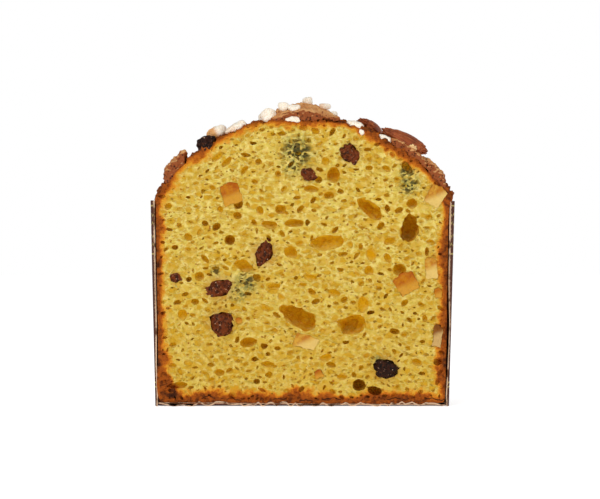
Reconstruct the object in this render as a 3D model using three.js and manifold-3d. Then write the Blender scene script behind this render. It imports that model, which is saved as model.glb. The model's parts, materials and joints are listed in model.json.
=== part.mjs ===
// A panettone in its paper mould, cut by one vertical plane so that the crumb shows. Millimetres, +Z up.
// The origin is on the face it rests on, at the axis of the mould, and the cut faces -Y.
import * as THREE from "three";
import { mergeVertices } from "three/addons/utils/BufferGeometryUtils.js";
import Module from "manifold-3d";

const wasm = await Module();
wasm.setup();

// Driving dimensions.
const CUT_Y = -13; // the plane of the cut, in front of the mould's axis
const GAP = 0.3; // clearance between pieces that touch
const ROUND_STEPS = 48; // facets round the loaf and the mould
const ROOM = 400; // side of the block that takes the cut-off part away

const MOULD = { baseRadius: 68.3, rimRadius: 71.3, height: 95, paper: 0.8, pinch: 1.8 };
const LOAF = { baseRadius: 67.1, rimRadius: 68.6, corner: 3, apex: 132 };

// The crown's section from the rim to the axis: radius and height.
const CROWN = [
  [LOAF.rimRadius, MOULD.height],
  [62.5, 105],
  [51.5, 115.4],
  [37, 124.6],
  [24.5, 130.6],
  [12, 131.8],
  [0, LOAF.apex],
];

// Large air holes open at the cut: place across and up, then width, height and turn in degrees.
const AIR_HOLES = [
  { x: 49.2, z: 81.5, width: 9, height: 12.5, turn: 10 },
  { x: 31.2, z: 90.5, width: 12, height: 7, turn: -38 },
  { x: 11.3, z: 75.5, width: 16, height: 6.5, turn: 0 },
  { x: -1.6, z: 41, width: 18.5, height: 9.5, turn: -32 },
  { x: 22.8, z: 37.2, width: 12.5, height: 9, turn: 0 },
  { x: 31, z: 62.5, width: 5.5, height: 5, turn: 0 },
  { x: 29.2, z: 8.6, width: 11, height: 5.5, turn: 0 },
  { x: -27.4, z: 64.6, width: 8.6, height: 5.6, turn: 12 },
];

// Raisins in the cut face.
const RAISINS = {
  raisin_upper_right: { x: 22.3, z: 115.7, width: 10.6, height: 8.6, turn: -38 },
  raisin_upper_middle: { x: 3, z: 106.6, width: 7, height: 5.4, turn: -20 },
  raisin_middle: { x: -17.9, z: 69.7, width: 12.6, height: 7.8, turn: 62 },
  raisin_left_upper: { x: -38, z: 54.3, width: 12.2, height: 8.6, turn: 18 },
  raisin_left_lower: { x: -37.5, z: 38.2, width: 12.6, height: 11, turn: -30 },
  raisin_lower_right: { x: 38.2, z: 17.5, width: 10.8, height: 10, turn: -20 },
  raisin_far_left: { x: -58.2, z: 58.9, width: 5, height: 4.6, turn: 0 },
};

// Candied peel in the cut face.
const PEELS = {
  peel_upper_left: { x: -32.7, z: 97.8, width: 9.6, height: 10.6, turn: 24, hue: "orange" },
  peel_right: { x: 47.8, z: 56.6, width: 10.8, height: 10, turn: 36, hue: "orange" },
  peel_right_edge: { x: 59.2, z: 63.5, width: 6, height: 10.6, turn: 8, hue: "pale" },
  peel_lower_right_edge: { x: 62.2, z: 32.4, width: 4.6, height: 11, turn: -4, hue: "pale" },
  peel_lower_middle: { x: 1.4, z: 29.9, width: 11.4, height: 6.6, turn: -14, hue: "pale" },
  peel_right_shoulder: { x: 61.4, z: 96.8, width: 8.4, height: 10, turn: -24, hue: "pale" },
  peel_left_lower: { x: -29, z: 39.4, width: 3, height: 3, turn: 20, hue: "orange" },
  peel_bottom: { x: 7.6, z: 15, width: 4, height: 4, turn: 30, hue: "orange" },
  peel_far_right: { x: 62.4, z: 52.2, width: 3.6, height: 4.8, turn: 12, hue: "orange" },
};

// Glaze flakes: outline seen from above, and how far each lies under and over the bare crust.
const FLAKES = {
  glaze_centre: {
    outline: [[-14.5, -20], [-15, -6], [-10, 6], [0, 12], [11, 9], [17, 0], [16, -20]],
    under: 0,
    over: 7.2,
    fall: 4.8,
  },
  glaze_left_shoulder: {
    outline: [[-62.4, -20], [-63, -6], [-60, 3], [-55, 2], [-54, -6], [-54.6, -20]],
    under: 0.8,
    over: 4,
  },
  glaze_right_shoulder: {
    outline: [[57.4, -20], [57.6, -6], [60, 4], [64, 3], [65.6, -8], [65, -20]],
    under: 0,
    over: 3.6,
  },
  glaze_right_slope: {
    outline: [[41, -20], [40, -7], [45, 4], [54, 5], [57.3, -6], [57.1, -20]],
    under: 0,
    over: 1.9,
  },
  glaze_left_crown: {
    outline: [[-57, 22], [-53, 36], [-43, 45], [-37, 39], [-38, 27], [-47, 20]],
    under: 0,
    over: 1.7,
  },
  glaze_back_left: {
    outline: [[-33, 31], [-31, 43], [-22, 49], [-12, 41], [-11, 27], [-21, 19], [-30, 24]],
    under: 0,
    over: 2.2,
  },
  glaze_back: {
    outline: [[-8, 30], [-9, 46], [0, 57], [14, 55], [20, 42], [15, 28], [3, 24]],
    under: 0,
    over: 2.6,
  },
  glaze_back_right: {
    outline: [[24, 22], [25, 38], [34, 45], [47, 34], [53, 18], [47, 10], [36, 16]],
    under: 0,
    over: 2,
  },
};

// Toppings on the crown, seen from above: place, turn about the crust's normal, tilt, and how far the middle
// lies over the crust.
const ALMOND = { length: 24.5, width: 13, thickness: 7.8 };
const ALMONDS = {
  almond_right_inner: { x: 31.4, y: 6.2, turn: -22, lift: 0.8 },
  almond_right_outer: { x: 45.2, y: -6.8, turn: 90, tilt: 4, lift: 3.6 },
  almond_left_crown: { x: -46, y: 33.5, turn: -35, lift: 3.4 },
  almond_back_left: { x: -23, y: 36, turn: 60, lift: 3.6 },
  almond_crown_back: { x: -2, y: 37, turn: 12, lift: 5.2 },
  almond_back: { x: 8, y: 52, turn: -70, lift: 4.6 },
  almond_back_right: { x: 40, y: 27, turn: 30, lift: 4.8 },
  almond_far_back: { x: -16, y: 57, turn: 100, lift: 3 },
};

// Grains of pearl sugar: place from above, size across, deep and high, and lift as for the almonds.
const GRAINS = [
  { x: -15.2, y: -9.6, size: [8, 5.6, 5.6], lift: 2.4 },
  { x: -8.2, y: -8.6, size: [5, 4.4, 3.8], lift: 6 },
  { x: -3.6, y: -10.2, size: [5, 3.8, 3.6], lift: 5.2 },
  { x: 2.5, y: 0, size: [4.4, 4.2, 3.7], lift: 9.1 },
  { x: 10.6, y: -2.4, size: [4.6, 4, 3.2], lift: 6.4 },
  { x: 14.8, y: -4.6, size: [2.9, 2.9, 2.7], lift: 3.4 },
  { x: -4.4, y: -12.8, size: [6.8, 2.6, 2.6], lift: 0.3 },
  { x: 24.6, y: -11.6, size: [7.4, 2.8, 3.2], lift: -0.2 },
  { x: 38, y: -11.2, size: [6.8, 3.2, 3.4], lift: -0.4 },
  { x: -38.2, y: -5.2, size: [9.6, 6.4, 5.2], lift: 2.9 },
  { x: -30.4, y: -9.4, size: [10.6, 5, 3.6], lift: 0.9 },
  { x: -17.6, y: 5.4, size: [5, 4.6, 4], lift: 1.8 },
  { x: -14, y: 19, size: [5.6, 4.4, 4.2], lift: 1.8 },
  { x: 10, y: 17.6, size: [4.6, 5.4, 4], lift: 1.8 },
  { x: 33.4, y: 20.6, size: [5, 4, 4], lift: 1.8 },
  { x: -16, y: 45.4, size: [4.6, 5.6, 4], lift: 3.4 },
  { x: 13.6, y: 37, size: [5.4, 4.2, 4.2], lift: 4.2 },
  { x: 31.6, y: 38.4, size: [4.4, 4.4, 4], lift: 3.6 },
  { x: -35, y: 17.6, size: [5.2, 4.4, 4], lift: 1.2 },
  { x: 28, y: -12.9, size: [3, 2.4, 2.1], lift: -2.2 },
];

// One raisin baked on the crust by the cut.
const CRUST_RAISIN = { x: -43.6, y: -10.6, size: [8.8, 4.4, 7], lift: 0.9 };

const FINISH = {
  crumb: { color: 0xd9b64f, roughness: 0.9 },
  paper: { color: 0x46201a, roughness: 0.6 },
  glaze: { color: 0xb37a48, roughness: 0.75 },
  almond: { color: 0x8a4b2a, roughness: 0.5 },
  sugar: { color: 0xf4ecdc, roughness: 0.7 },
  raisin: { color: 0x4a241c, roughness: 0.45 },
  orange: { color: 0xdc8a2a, roughness: 0.4 },
  pale: { color: 0xe8c88a, roughness: 0.45 },
};

const material = Object.fromEntries(
  Object.entries(FINISH).map(([name, look]) => [
    name,
    new THREE.MeshStandardMaterial({ ...look, metalness: 0 }),
  ]),
);

// Solids.

// A closed mesh as a solid that can be joined and cut.
function toSolid(geometry) {
  const plain = geometry.clone();
  plain.deleteAttribute("normal");
  plain.deleteAttribute("uv");
  const merged = mergeVertices(plain, 1e-4);
  const vertProperties = new Float32Array(merged.attributes.position.array);
  const triVerts = new Uint32Array(merged.index.array);
  return new wasm.Manifold(new wasm.Mesh({ numProp: 3, vertProperties, triVerts }));
}

function toMesh(name, solid, look) {
  const { vertProperties, triVerts } = solid.getMesh();
  const geometry = new THREE.BufferGeometry();
  geometry.setAttribute("position", new THREE.BufferAttribute(vertProperties, 3));
  geometry.setIndex(new THREE.BufferAttribute(triVerts, 1));
  geometry.computeVertexNormals();
  const mesh = new THREE.Mesh(geometry, look);
  mesh.name = name;
  return mesh;
}

// A placed mesh as a solid, a little larger all round by grow, so that what is cut by it keeps clear.
function solidOf(mesh, grow = 0) {
  const shape = mesh.geometry.clone();
  shape.computeBoundingBox();
  const size = shape.boundingBox.getSize(new THREE.Vector3());
  shape.scale(1 + (2 * grow) / size.x, 1 + (2 * grow) / size.y, 1 + (2 * grow) / size.z);
  mesh.updateMatrixWorld();
  shape.applyMatrix4(mesh.matrixWorld);
  return toSolid(shape);
}

// All that lies in front of the cut, less what stands proud of it.
function cutAway(proud = 0) {
  const block = new THREE.BoxGeometry(ROOM, ROOM, ROOM);
  block.translate(0, CUT_Y - proud - ROOM / 2, 0);
  return toSolid(block);
}

function turnedSolid(points, steps = ROUND_STEPS) {
  const profile = points.map(([radius, height]) => new THREE.Vector2(radius, height));
  const geometry = new THREE.LatheGeometry(profile, steps);
  geometry.rotateX(Math.PI / 2);
  return toSolid(geometry);
}

// The crown.

const crownCurve = new THREE.SplineCurve(CROWN.map(([radius, height]) => new THREE.Vector2(radius, height)));
const crownPoints = crownCurve.getPoints(13).map(({ x, y }) => [Math.max(x, 0), y]);
crownPoints[crownPoints.length - 1][0] = 0;

function crustHeight(radius) {
  const inner = crownPoints.findIndex(([reach]) => reach <= radius);
  if (inner <= 0) {
    return inner === 0 ? crownPoints[0][1] : LOAF.apex;
  }
  const [farRadius, low] = crownPoints[inner - 1];
  const [nearRadius, high] = crownPoints[inner];
  return low + ((high - low) * (farRadius - radius)) / (farRadius - nearRadius);
}

// Stands a mesh on the crust, its own Z along the crust's normal, then tilts its +X side up.
function seat(mesh, { x, y, turn = 0, tilt = 0, lift }) {
  const radius = Math.hypot(x, y);
  const slope = (crustHeight(radius + 1) - crustHeight(Math.abs(radius - 1))) / 2;
  const outward = new THREE.Vector3(x, y, 0).normalize();
  const normal = new THREE.Vector3(0, 0, 1).addScaledVector(outward, -slope).normalize();
  const upright = new THREE.Quaternion().setFromUnitVectors(new THREE.Vector3(0, 0, 1), normal);
  const spin = new THREE.Quaternion().setFromAxisAngle(
    new THREE.Vector3(0, 0, 1),
    THREE.MathUtils.degToRad(turn),
  );
  const prop = new THREE.Quaternion().setFromAxisAngle(
    new THREE.Vector3(0, 1, 0),
    THREE.MathUtils.degToRad(-tilt),
  );
  mesh.position.set(x, y, crustHeight(radius)).addScaledVector(normal, lift);
  mesh.quaternion.copy(prop.multiply(upright).multiply(spin));
  return mesh;
}

// Small shapes.

// An irregular lump of the given size, each seed its own shape. Rough is how far its surface wanders.
function lumpGeometry([across, deep, high], seed, rough = 0.12, detail = 2) {
  const geometry = new THREE.IcosahedronGeometry(0.5, detail);
  const position = geometry.attributes.position;
  const point = new THREE.Vector3();
  for (let i = 0; i < position.count; i += 1) {
    point.fromBufferAttribute(position, i).multiplyScalar(2);
    const wave =
      Math.sin(3.1 * point.x + 1.7 * seed) * Math.sin(2.7 * point.y + 2.3 * seed) +
      Math.sin(4.3 * point.z + 0.9 * seed) * Math.cos(3.7 * point.x - seed);
    point.multiplyScalar((1 + rough * (wave - 1)) / 2);
    position.setXYZ(i, point.x * across, point.y * deep, point.z * high);
  }
  return geometry;
}

// An almond along its own Y, pointed at the far end and flattened along Z.
function almondGeometry({ length, width, thickness }) {
  const steps = 8;
  const profile = Array.from({ length: steps + 1 }, (_, i) => {
    const along = i / steps;
    const bulge = Math.sqrt(Math.sin(Math.PI * along)) * (1.13 - 0.36 * along);
    const radius = i === 0 || i === steps ? 0 : (width / 2) * bulge;
    return new THREE.Vector2(radius, length * (along - 0.5));
  });
  const geometry = new THREE.LatheGeometry(profile, 12);
  geometry.scale(1, 1, thickness / width);
  return geometry;
}

// A chunk of candied peel: a four-sided slab with one corner drawn in, standing across the cut.
function peelGeometry(width, height, depth) {
  const outline = new THREE.Shape([
    new THREE.Vector2(-0.5 * width, -0.42 * height),
    new THREE.Vector2(0.4 * width, -0.5 * height),
    new THREE.Vector2(0.5 * width, 0.3 * height),
    new THREE.Vector2(0.1 * width, 0.5 * height),
    new THREE.Vector2(-0.4 * width, 0.44 * height),
  ]);
  const geometry = new THREE.ExtrudeGeometry(outline, { depth, bevelEnabled: false });
  geometry.rotateX(Math.PI / 2);
  geometry.translate(0, depth / 2, 0);
  return geometry;
}

// Places a mesh in the cut face, its middle at the given depth behind the cut.
function setInCut(mesh, { x, z, turn }, depth) {
  mesh.position.set(x, CUT_Y + depth, z);
  mesh.rotation.y = THREE.MathUtils.degToRad(-turn);
  return mesh;
}

// Toppings.

const almonds = Object.entries(ALMONDS).map(([name, place]) => {
  const mesh = new THREE.Mesh(almondGeometry(ALMOND), material.almond);
  mesh.name = name;
  return seat(mesh, place);
});

const grains = GRAINS.map(({ size, ...place }, i) => {
  const mesh = new THREE.Mesh(lumpGeometry(size, i + 1, 0.1, 1), material.sugar);
  mesh.name = `sugar_${String(i + 1).padStart(2, "0")}`;
  return seat(mesh, place);
});

const crustRaisin = new THREE.Mesh(lumpGeometry(CRUST_RAISIN.size, 31), material.raisin);
crustRaisin.name = "raisin_on_crust";
seat(crustRaisin, CRUST_RAISIN);

const toppings = [...almonds, ...grains, crustRaisin];
const toppingRoom = toppings.map((mesh) => solidOf(mesh, GAP));

// Raisins and peel in the crumb, cut by the same knife and standing slightly proud of the crumb.

const PROUD = 0.5;
const inclusions = [
  ...Object.entries(RAISINS).map(([name, place], i) => {
    const { width, height } = place;
    const shape = lumpGeometry([width, 0.8 * width, height], i + 11);
    return { name, mesh: setInCut(new THREE.Mesh(shape), place, 0.12 * width), look: material.raisin };
  }),
  ...Object.entries(PEELS).map(([name, place]) => {
    const { width, height, hue } = place;
    const depth = 0.8 * Math.min(width, height);
    const shape = peelGeometry(width, height, depth);
    return { name, mesh: setInCut(new THREE.Mesh(shape), place, depth / 2 - PROUD), look: material[hue] };
  }),
];

const airHoles = AIR_HOLES.map((place, i) => {
  const { width, height } = place;
  const shape = lumpGeometry([width, 0.9 * height, height], i + 51, 0.04);
  return setInCut(new THREE.Mesh(shape), place, 0.08 * height);
});

// Glaze flakes.

function flakeSolid({ outline, under, over, fall = 0 }, grow = 0) {
  const bottom = crownPoints.map(([radius, height]) => [radius, height - under + GAP - grow]);
  const top = crownPoints.map(([radius, height]) => [
    radius * 1.018,
    height + over - fall * Math.min(radius / 15, 1.2) ** 2 + grow,
  ]);
  const shell = turnedSolid([...bottom.reverse(), ...top]);
  const middle = new THREE.Vector2();
  outline.forEach(([x, y]) => middle.add(new THREE.Vector2(x, y).divideScalar(outline.length)));
  const edge = outline.map(([x, y]) => {
    const corner = new THREE.Vector2(x, y);
    const away = corner.clone().sub(middle).normalize();
    return corner.addScaledVector(away, 1.5 * grow);
  });
  const prism = new THREE.ExtrudeGeometry(new THREE.Shape(edge), { depth: ROOM, bevelEnabled: false });
  return shell.intersect(toSolid(prism)).subtract(cutAway(grow));
}

const inclusionRoom = inclusions.map(({ mesh }) => solidOf(mesh, GAP));
const flakes = Object.entries(FLAKES).map(([name, flake]) => {
  const solid = [...toppingRoom, ...inclusionRoom].reduce(
    (rest, room) => rest.subtract(room),
    flakeSolid(flake),
  );
  return toMesh(name, solid, material.glaze);
});

// The loaf: crumb and crust baked as one piece, cut by the knife, with room for all that lies in it.

function loafSolid() {
  const bottom = MOULD.paper + GAP;
  const { baseRadius, corner } = LOAF;
  const rounding = [0, 30, 60, 90].map((degrees) => {
    const angle = THREE.MathUtils.degToRad(degrees);
    return [baseRadius - corner * (1 - Math.sin(angle)), bottom + corner * (1 - Math.cos(angle))];
  });
  return turnedSolid([[0, bottom], ...rounding, ...crownPoints]).subtract(cutAway());
}

const bites = [
  ...toppingRoom,
  ...inclusionRoom,
  ...airHoles.map((mesh) => solidOf(mesh)),
  ...Object.values(FLAKES)
    .filter(({ under }) => under > 0)
    .map((flake) => flakeSolid(flake, GAP)),
];
const loaf = toMesh("loaf", bites.reduce((rest, bite) => rest.subtract(bite), loafSolid()), material.crumb);

const cutInclusions = inclusions.map(({ name, mesh, look }) =>
  toMesh(name, solidOf(mesh).subtract(cutAway(PROUD)), look),
);

// The paper mould. Near the cut its rim leans back against the loaf.

function paperWall() {
  const { baseRadius, rimRadius, height, paper, pinch } = MOULD;
  const rows = 3;
  const level = (i) => [baseRadius + ((rimRadius - baseRadius) * i) / rows, (height * i) / rows];
  const outer = Array.from({ length: rows + 1 }, (_, i) => level(i));
  const inner = outer.map(([radius, z]) => [radius - paper, z]).reverse();
  const profile = [...outer, ...inner, outer[0]].map(([radius, z]) => new THREE.Vector2(radius, z));
  const geometry = new THREE.LatheGeometry(profile, 2 * ROUND_STEPS);
  geometry.rotateX(Math.PI / 2);
  const position = geometry.attributes.position;
  for (let i = 0; i < position.count; i += 1) {
    const [x, y, z] = [position.getX(i), position.getY(i), position.getZ(i)];
    const nearCut = THREE.MathUtils.smoothstep(CUT_Y + 22 - y, 0, 22);
    const pull = 1 - (pinch * nearCut * (z / height) ** 2) / rimRadius;
    position.setXYZ(i, x * pull, y, z);
  }
  return toSolid(geometry).subtract(cutAway());
}

const { baseRadius, paper } = MOULD;
const baseReach = baseRadius - paper - GAP;
const paperBase = turnedSolid([[0, 0], [baseReach, 0], [baseReach, paper], [0, paper]]).subtract(cutAway());

const panettone = new THREE.Group();
panettone.add(
  loaf,
  toMesh("paper_wall", paperWall(), material.paper),
  toMesh("paper_base", paperBase, material.paper),
  ...flakes,
  ...toppings,
  ...cutInclusions,
);

export default panettone;
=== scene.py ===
"""The looks of a panettone in its paper mould, cut upright so that its crumb shows. Metres, +Z up."""
import json
import logging
import math
import random
from dataclasses import dataclass, field
from enum import Enum
from functools import reduce
from typing import Callable, Optional, Sequence

import bpy
import numpy as np
from mathutils import Matrix, Vector


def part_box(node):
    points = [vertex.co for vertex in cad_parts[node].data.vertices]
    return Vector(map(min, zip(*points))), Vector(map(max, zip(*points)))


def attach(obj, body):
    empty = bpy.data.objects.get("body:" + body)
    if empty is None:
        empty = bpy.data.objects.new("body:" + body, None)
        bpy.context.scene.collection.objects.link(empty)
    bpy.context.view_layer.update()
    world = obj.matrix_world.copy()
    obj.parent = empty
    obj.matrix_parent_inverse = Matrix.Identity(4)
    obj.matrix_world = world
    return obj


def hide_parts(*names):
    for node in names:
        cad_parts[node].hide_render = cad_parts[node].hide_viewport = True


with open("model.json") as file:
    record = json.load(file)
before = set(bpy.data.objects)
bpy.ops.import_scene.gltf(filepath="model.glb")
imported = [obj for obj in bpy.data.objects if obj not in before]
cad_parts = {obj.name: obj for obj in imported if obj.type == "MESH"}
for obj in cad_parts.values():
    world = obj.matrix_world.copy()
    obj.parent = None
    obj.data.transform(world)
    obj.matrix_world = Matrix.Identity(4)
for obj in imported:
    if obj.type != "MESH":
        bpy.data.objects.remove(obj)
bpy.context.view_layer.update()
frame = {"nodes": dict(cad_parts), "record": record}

MM = 0.001
BODY = "root"
LOAF_LOW, LOAF_HIGH = (Vector(corner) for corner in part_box("loaf"))
WALL_LOW, WALL_HIGH = (Vector(corner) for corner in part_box("paper_wall"))
CUT = LOAF_LOW.y
RIM = WALL_HIGH.z
FOOT = LOAF_LOW.z
LOAF_FOOT = 67.1 * MM
# The crown's section from the rim to the middle, as shares of the loaf's half width and the crown's height.
CROWN = ((1.0, 0.0), (0.911, 0.27), (0.751, 0.551), (0.539, 0.8), (0.357, 0.957), (0.175, 0.99), (0.0, 1.0))

logging.basicConfig(level=logging.INFO, format="%(message)s")
LOG = logging.getLogger("panettone")

Colour = tuple[float, float, float, float]
Rows = tuple[tuple[float, ...], ...]
Piece = bpy.types.Object


def tone(red: int, green: int, blue: int) -> Colour:
    """Gives a colour as the shaders take it.

    Args:
        red: Red as a painter reads it off a chart, 0 to 255.
        green: Green, 0 to 255.
        blue: Blue, 0 to 255.

    Returns:
        The same colour in linear light, with full alpha.
    """

    def linear(value: int) -> float:
        """Undoes the chart's curve for one channel."""
        share = value / 255
        return share / 12.92 if share <= 0.04045 else ((share + 0.055) / 1.055) ** 2.4

    return linear(red), linear(green), linear(blue), 1.0


def millimetres(*rows: Sequence[float]) -> Rows:
    """Gives rows of sizes in millimetres as metres."""
    return tuple(tuple(value * MM for value in row) for row in rows)


def nodes_of(kind: str) -> list[str]:
    """Lists the frame's nodes of one kind, in order."""
    return [node for node in sorted(frame["nodes"]) if node.startswith(kind)]


# ---------------------------------------------------------------- modelling steps that the pieces share


class Grain(Enum):
    """The kinds of unevenness that a surface can be given."""

    CLOUDS = "CLOUDS"
    CELLS = "VORONOI"


class Bench:
    """Modelling steps done with Blender's own operators on one piece at a time."""

    @staticmethod
    def clear() -> None:
        """Deselects everything, in object mode."""
        if bpy.context.object and bpy.context.object.mode != "OBJECT":
            bpy.ops.object.mode_set(mode="OBJECT")
        bpy.ops.object.select_all(action="DESELECT")

    @staticmethod
    def take(piece: Piece) -> Piece:
        """Selects one piece alone and makes it active.

        Args:
            piece: The piece to work on.

        Returns:
            The same piece.
        """
        Bench.clear()
        piece.select_set(True)
        bpy.context.view_layer.objects.active = piece
        return piece

    @staticmethod
    def started(name: str) -> Piece:
        """Names the primitive that was just added.

        Args:
            name: The piece's name.

        Returns:
            The new piece.
        """
        piece = bpy.context.object
        piece.name = name
        piece.data.name = name
        return piece

    @staticmethod
    def ball(name: str, fineness: int, radius: float) -> Piece:
        """Adds a ball of small triangles at the origin.

        Args:
            name: The piece's name.
            fineness: How often its faces are divided.
            radius: Its radius.

        Returns:
            The new piece.
        """
        Bench.clear()
        bpy.ops.mesh.primitive_ico_sphere_add(subdivisions=fineness, radius=radius)
        return Bench.started(name)

    @staticmethod
    def join(pieces: Sequence[Piece]) -> Piece:
        """Makes several pieces one.

        Args:
            pieces: The pieces, of which the first takes in the others.

        Returns:
            The joined piece.
        """
        Bench.take(pieces[0])
        for piece in pieces:
            piece.select_set(True)
        bpy.ops.object.join()
        return bpy.context.object

    @staticmethod
    def edit(piece: Piece, step: Callable[..., object], **settings: object) -> None:
        """Does one edit mode step on all of a piece.

        Args:
            piece: The piece to work on.
            step: Blender's operator.
            settings: The operator's settings by name.
        """
        Bench.take(piece)
        bpy.ops.object.mode_set(mode="EDIT")
        bpy.ops.mesh.select_all(action="SELECT")
        step(**settings)
        bpy.ops.object.mode_set(mode="OBJECT")

    @staticmethod
    def settle(piece: Piece) -> Piece:
        """Puts a piece's place, turn and scale into its mesh.

        Args:
            piece: The piece to work on.

        Returns:
            The same piece.
        """
        Bench.take(piece)
        bpy.ops.object.transform_apply(location=True, rotation=True, scale=True)
        return piece

    @staticmethod
    def finish(piece: Piece, kind: str, **settings: object) -> None:
        """Adds one modifier to a piece and applies it.

        Args:
            piece: The piece to work on.
            kind: Blender's name of the modifier type.
            settings: The modifier's settings by name.
        """
        Bench.take(piece)
        bpy.ops.object.modifier_add(type=kind)
        modifier = piece.modifiers[-1]
        for name, value in settings.items():
            setattr(modifier, name, value)
        bpy.ops.object.modifier_apply(modifier=modifier.name)

    @staticmethod
    def roughen(
        piece: Piece, size: float, height: float, group: str = "", grain: Grain = Grain.CLOUDS
    ) -> None:
        """Pushes a piece's surface in and out along its normals by a procedural grain.

        Args:
            piece: The piece to work on.
            size: How large one bump is, in metres.
            height: From the deepest dip to the highest bump, in metres.
            group: A vertex group that holds back the push, if any.
            grain: The kind of unevenness.
        """
        texture = bpy.data.textures.new(f"{piece.name}_{grain.name.lower()}", type=grain.value)
        texture.noise_scale = size
        if grain is Grain.CLOUDS:
            texture.noise_depth = 2
        push = {"texture": texture, "texture_coords": "LOCAL", "vertex_group": group}
        Bench.finish(piece, "DISPLACE", strength=height, mid_level=0.5, **push)
        bpy.data.textures.remove(texture)

    @staticmethod
    def carve(piece: Piece, cutter: Piece) -> None:
        """Cuts a closed shape out of a closed piece, and takes the cutter away."""
        Bench.finish(piece, "BOOLEAN", object=cutter, operation="DIFFERENCE", solver="MANIFOLD")
        bpy.data.objects.remove(cutter, do_unlink=True)

    @staticmethod
    def outward(piece: Piece) -> None:
        """Turns all of a piece's faces outwards."""
        Bench.edit(piece, bpy.ops.mesh.normals_make_consistent, inside=False)

    @staticmethod
    def renumber(piece: Piece) -> None:
        """Numbers a piece's corners and faces by their place, so that every run gives the same mesh.

        Args:
            piece: The piece, without groups or attributes to lose.
        """
        points = Bench.points(piece)
        order = np.lexsort(points.T)
        rank = np.argsort(order)
        faces = []
        for face in piece.data.polygons:
            corners = rank[list(face.vertices)]
            faces.append(np.roll(corners, -corners.argmin()).tolist())
        piece.data.clear_geometry()
        piece.data.from_pydata(points[order].tolist(), [], sorted(faces))

    @staticmethod
    def slice_front(piece: Piece, fill: bool) -> None:
        """Cuts a piece upright along the cut and keeps what lies behind.

        Args:
            piece: The piece to cut.
            fill: Whether the cut is closed by a face.
        """
        plane = {"plane_co": (0, CUT, 0), "plane_no": (0, -1, 0)}
        Bench.edit(piece, bpy.ops.mesh.bisect, use_fill=fill, clear_outer=True, **plane)
        Bench.renumber(piece)

    @staticmethod
    def turned(name: str, rings: Sequence[tuple[float, float]], steps: int, closed: bool) -> Piece:
        """Draws a turned shape upwards from a circle, one ring after another.

        Args:
            name: The piece's name.
            rings: Radius and height of each ring, from the lowest up.
            steps: Corners in each ring.
            closed: Whether the lowest and highest rings are closed by a face.

        Returns:
            The new piece, at the origin.
        """
        Bench.clear()
        radius, height = rings[0]
        fill = "NGON" if closed else "NOTHING"
        low = (0, 0, height)
        bpy.ops.mesh.primitive_circle_add(vertices=steps, radius=radius, fill_type=fill, location=low)
        piece = Bench.settle(Bench.started(name))
        bpy.ops.object.mode_set(mode="EDIT")
        bpy.ops.mesh.select_all(action="SELECT")
        for wider, higher in rings[1:]:
            bpy.ops.mesh.extrude_region_move(TRANSFORM_OT_translate={"value": (0, 0, higher - height)})
            share = wider / radius
            bpy.ops.transform.resize(value=(share, share, 1), center_override=(0, 0, higher))
            radius, height = wider, higher
        bpy.ops.object.mode_set(mode="OBJECT")
        Bench.outward(piece)
        Bench.renumber(piece)
        return piece

    @staticmethod
    def points(piece: Piece) -> np.ndarray:
        """Reads where a piece's vertices are.

        Args:
            piece: The piece to read.

        Returns:
            One row of x, y and z for each vertex.
        """
        flat = np.empty(len(piece.data.vertices) * 3)
        piece.data.vertices.foreach_get("co", flat)
        return flat.reshape(-1, 3)

    @staticmethod
    def move_points(piece: Piece, points: np.ndarray) -> None:
        """Writes back a piece's vertices, moved."""
        piece.data.vertices.foreach_set("co", points.ravel())
        piece.data.update()

    @staticmethod
    def weigh(piece: Piece, name: str, weights: np.ndarray) -> None:
        """Gives a piece a vertex group with one weight for each vertex.

        Args:
            piece: The piece that gets the group.
            name: The group's name.
            weights: A weight from 0 to 1 for each vertex.
        """
        group = piece.vertex_groups.new(name=name)
        for tenth in range(11):
            picked = np.flatnonzero(np.round(weights * 10) == tenth)
            group.add(picked.tolist(), tenth / 10, "REPLACE")

    @staticmethod
    def remember(piece: Piece, shift: float | np.ndarray = 0) -> None:
        """Keeps each vertex's place in the piece's own frame, for patterns that follow the piece.

        Args:
            piece: The piece.
            shift: Moves the pattern along, so that copies don't match.
        """
        kept = piece.data.attributes.new("own_place", "FLOAT_VECTOR", "POINT")
        kept.data.foreach_set("vector", (Bench.points(piece) + shift).ravel())

    @staticmethod
    def smooth(piece: Piece, degrees: float = 180) -> None:
        """Shades a piece smooth where its faces meet at less than the given angle."""
        Bench.take(piece)
        bpy.ops.object.shade_smooth_by_angle(angle=math.radians(degrees), keep_sharp_edges=False)

    @staticmethod
    def copy_of(node: str, name: str) -> Piece:
        """Copies a frame node's shape as the start of a finer piece.

        Args:
            node: The node's name.
            name: The new piece's name.

        Returns:
            The copy, with its corners merged.
        """
        Bench.clear()
        source = frame["nodes"][node]
        mesh = bpy.data.meshes.new_from_object(source)
        mesh.materials.clear()
        piece = bpy.data.objects.new(name, mesh)
        bpy.context.scene.collection.objects.link(piece)
        piece.matrix_world = source.matrix_world
        Bench.settle(piece)
        Bench.edit(piece, bpy.ops.mesh.remove_doubles, threshold=1e-6)
        return piece

    @staticmethod
    def worn_copy(node: str, name: str, fineness: float) -> Piece:
        """Copies a frame node's shape in small even faces, with its edges worn round.

        Args:
            node: The node's name.
            name: The new piece's name.
            fineness: The size of one face, in metres.

        Returns:
            The copy.
        """
        piece = Bench.copy_of(node, name)
        Bench.finish(piece, "REMESH", mode="VOXEL", voxel_size=fineness)
        Bench.finish(piece, "SMOOTH", factor=0.5, iterations=5)
        return piece


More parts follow.
